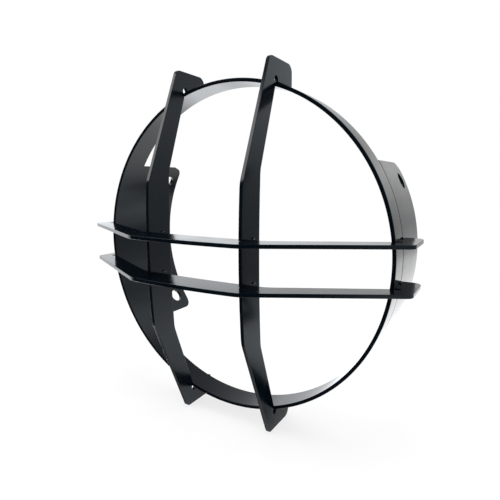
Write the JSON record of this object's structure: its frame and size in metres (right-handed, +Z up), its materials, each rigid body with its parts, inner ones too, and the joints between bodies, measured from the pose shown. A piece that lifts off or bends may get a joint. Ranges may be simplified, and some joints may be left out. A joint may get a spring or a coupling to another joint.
{
  "type": "motorcycle headlight guard",
  "caption": "Black steel grille guard for a round motorcycle headlamp: a ring band with crossed flat bars in front and a drilled mounting ear at each side.",
  "frame": {"origin": "on the axis of the ring band, in the plane of its front edge", "axes": "+Y along the lamp's axis from front to back, +X to the right as seen from in front, +Z up"},
  "size_m": [0.2082, 0.0994, 0.2042],
  "materials": {
    "black_powder_coat": "satin black powder coat over welded steel"
  },
  "bodies": {
    "root": {"ring_band": "black_powder_coat", "left_upright_bar": "black_powder_coat", "right_upright_bar": "black_powder_coat", "upper_level_bar": "black_powder_coat", "lower_level_bar": "black_powder_coat", "left_ear": "black_powder_coat", "right_ear": "black_powder_coat"}
  },
  "joints": []
}
